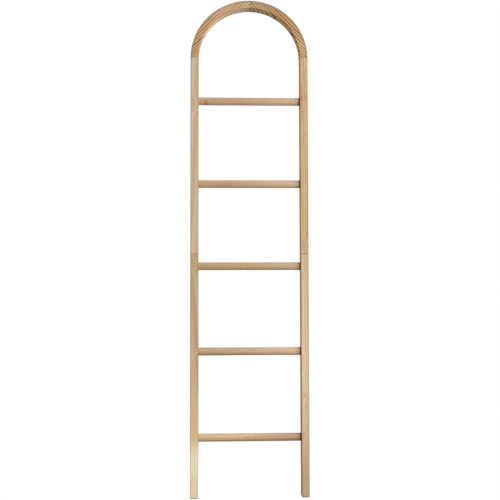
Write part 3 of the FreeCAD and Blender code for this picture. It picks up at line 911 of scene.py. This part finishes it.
# %% The felt pads
def felt_pad(side):
    """A pad with bulging sides and an uneven skin, inside the space of the solid pad."""
    mesh = bmesh.new()
    outlines = pad_outlines(mesh, *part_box(f"foot_pad_{side}"))
    for lower, upper in zip(outlines, outlines[1:]):
        for k in range(len(lower)):
            after = (k + 1) % len(lower)
            mesh.faces.new((lower[k], lower[after], upper[after], upper[k])).smooth = True
    mesh.faces.new(list(reversed(outlines[0])))
    mesh.faces.new(outlines[-1])
    data = bpy.data.meshes.new(f"felt_pad_{side}")
    mesh.to_mesh(data)
    mesh.free()
    pad = bpy.data.objects.new(f"felt_pad_{side}", data)
    bpy.context.scene.collection.objects.link(pad)
    pad.data.materials.append(wool_felt)
    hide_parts(f"foot_pad_{side}")
    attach(pad, "root")
    return pad


for side in ("left", "right"):
    pad = felt_pad(side)
    print(pad.name, "has", len(pad.data.polygons), "faces")

# %% [markdown]
# ## Floor and background
# The picture has a pure white ground. Turning the lamps up until the floor burns out would burn out the
# pale wood too. So the white is in the floor and the sky themselves, for rays from the camera and for
# rays in gloss and glass. Near the feet a part of the floor's white comes from the lamps, so a faint
# shadow stays.
#
# All other rays see a floor that throws light back up, but little of it near the feet. That makes the
# undersides of the low rungs darker than those of the high ones, as they are in the picture.


# %% Floor
def shown_rays(tree):
    """1 for rays that show the background, 0 for rays that light the object."""
    path = add(tree, "LightPath")
    seen = path.outputs["Is Camera Ray"]
    for name in ("Is Glossy Ray", "Is Transmission Ray"):
        seen = add(tree, "Math", {0: seen, 1: path.outputs[name]}, operation="MAXIMUM")
    return seen


FLOOR_HALF_SIZE = 60.0
# In metres from the point midway between the feet, the floor's white becomes all its own from NEAR to
# FAR, and the light that it throws back grows to its full strength from DIM to BRIGHT.
NEAR, FAR = 0.35, 0.9
DIM, BRIGHT = 0.3, 2.0
floor_mesh = bpy.data.meshes.new("floor")
corners = [(x * FLOOR_HALF_SIZE, y * FLOOR_HALF_SIZE, 0.0) for x, y in ((-1, -1), (1, -1), (1, 1), (-1, 1))]
floor_mesh.from_pydata(corners, [], [(0, 1, 2, 3)])
floor = bpy.data.objects.new("floor", floor_mesh)
bpy.context.scene.collection.objects.link(floor)

floor_paint, tree = new_material("floor_paint")
distance = add(tree, "VectorMath", {0: add(tree, "TexCoord").outputs["Object"]}, operation="LENGTH")
near = {"Value": distance, "From Min": NEAR, "From Max": FAR, "To Min": 1.0, "To Max": 0.0}
near = add(tree, "MapRange", near, interpolation_type="SMOOTHSTEP")
lamp_lit = add(tree, "BsdfDiffuse", {"Color": colour("#A8A8A8")})
own_white = add(tree, "Emission", {"Color": colour("#FFFFFF"), "Strength": 0.8})
near_white = add(tree, "AddShader", {0: own_white, 1: lamp_lit})
far_white = add(tree, "Emission", {"Color": colour("#FFFFFF"), "Strength": 1.0})
seen_white = add(tree, "MixShader", {0: near, 1: far_white, 2: near_white})
further = {"Value": distance, "From Min": DIM, "From Max": BRIGHT, "To Min": 0.0, "To Max": 1.0}
further = add(tree, "MapRange", further, interpolation_type="SMOOTHSTEP")
boards = {"Factor": further, "A": colour("#3A3937"), "B": colour("#CCC9C4")}
bounced = add(tree, "BsdfDiffuse", {"Color": add(tree, "Mix", boards, data_type="RGBA")})
paint = add(tree, "MixShader", {0: shown_rays(tree), 1: bounced, 2: seen_white})
add(tree, "OutputMaterial", {"Surface": paint})
floor.data.materials.append(floor_paint)
print("floor is", 2 * FLOOR_HALF_SIZE, "m wide")

# %% [markdown]
# ## Light from the room
# The sky is white where it shows. The ladder itself is lit as in a room: brightest from the ceiling's
# right side, and darker bit by bit towards the lower left.

# %% Room light
DARKEST_WALL, BRIGHTEST_CEILING = 0.04, 0.85
BRIGHT_SIDE = (0.5, 0.0, 0.866)  # 60 degrees up, to the right
world = bpy.data.worlds.new("studio")
bpy.context.scene.world = world
world.use_nodes = True
tree = world.node_tree
tree.nodes.clear()
direction = add(tree, "TexCoord").outputs["Generated"]
towards = add(tree, "VectorMath", {0: direction, 1: BRIGHT_SIDE}, operation="DOT_PRODUCT")
light = {"Value": towards, "From Min": -0.6, "From Max": 1.0}
light = add(tree, "MapRange", {**light, "To Min": DARKEST_WALL, "To Max": BRIGHTEST_CEILING})
soft = add(tree, "Background", {"Color": colour("#FFFFFF"), "Strength": light})
white = add(tree, "Background", {"Color": colour("#FFFFFF"), "Strength": 1.0})
sky = add(tree, "MixShader", {0: shown_rays(tree), 1: soft, 2: white})
add(tree, "OutputWorld", {"Surface": sky})
print("the room's light runs from", DARKEST_WALL, "to", BRIGHTEST_CEILING)

# %% [markdown]
# ## Lamps
# The main lamp is large and soft. It stands to the right and in front, nearly four metres off and at
# the height of the arch. So faces that look right are bright and the inner face of the right stile is
# dark, and the rungs are lighter above than below. A weaker one in front keeps the fronts even, and a
# small one with a narrow beam looks down at the feet, which the others hardly reach. The one behind is
# for the backs of the rungs and the arch.


# %% Lamps
def soft_lamp(name, place, target, size, power, spread_degrees=180):
    """Square area lamp that looks at a target. A small spread keeps its light together."""
    lamp = bpy.data.lights.new(name, "AREA")
    lamp.energy = power
    lamp.size = size
    lamp.spread = math.radians(spread_degrees)
    holder = bpy.data.objects.new(name, lamp)
    holder.location = place
    holder.rotation_euler = (Vector(target) - Vector(place)).to_track_quat("-Z", "Y").to_euler()
    holder.visible_camera = False
    bpy.context.scene.collection.objects.link(holder)
    print(name, "is", round((Vector(target) - Vector(place)).length, 2), "m from what it looks at")


soft_lamp("lamp_right", (2.4, -3.0, 1.8), (0, 0, 0.9), size=1.4, power=62)
soft_lamp("lamp_front", (0.5, -2.9, 0.9), (0, 0, 0.4), size=1.0, power=12)
soft_lamp("lamp_feet", (0.45, -1.3, 1.1), (-0.05, 0, 0), size=0.5, power=1.0, spread_degrees=60)
soft_lamp("lamp_behind", (2.2, 4.5, 1.5), (0, 0, 1.2), size=1.8, power=100)

# %% [markdown]
# ## Camera
# The picture was taken from 2.5 metres away, a little left of the ladder's middle and 0.8 m above the
# floor, with the camera tipped up by 2.3 degrees. That is why the undersides of the arch show, and why
# the right stile's inner face shows more than the left one's.

# %% Camera
CAMERA_PLACE = Vector((-82.1, -2514.0, 798.0)) * MM
YAW, PITCH, ROLL = 0.0335, 0.0403, -0.0021  # radians: turned right, tipped up, right side raised
FOCAL_PIXELS, IMAGE_PIXELS, SENSOR_MM = 680.9, 500, 36.0

forward = Vector((math.sin(YAW) * math.cos(PITCH), math.cos(YAW) * math.cos(PITCH), math.sin(PITCH)))
level_right = Vector((math.cos(YAW), -math.sin(YAW), 0.0))
level_up = level_right.cross(forward)
right = level_right * math.cos(ROLL) + level_up * math.sin(ROLL)
up = level_up * math.cos(ROLL) - level_right * math.sin(ROLL)
turned = Matrix((right, up, -forward)).transposed().to_4x4()

lens = bpy.data.cameras.new("camera")
lens.sensor_width = SENSOR_MM
lens.lens = SENSOR_MM * FOCAL_PIXELS / IMAGE_PIXELS
camera = bpy.data.objects.new("camera", lens)
camera.matrix_world = Matrix.Translation(CAMERA_PLACE) @ turned
bpy.context.scene.collection.objects.link(camera)
bpy.context.scene.camera = camera
bpy.context.scene.view_settings.view_transform = "Standard"
print("lens", round(lens.lens, 1), "mm")
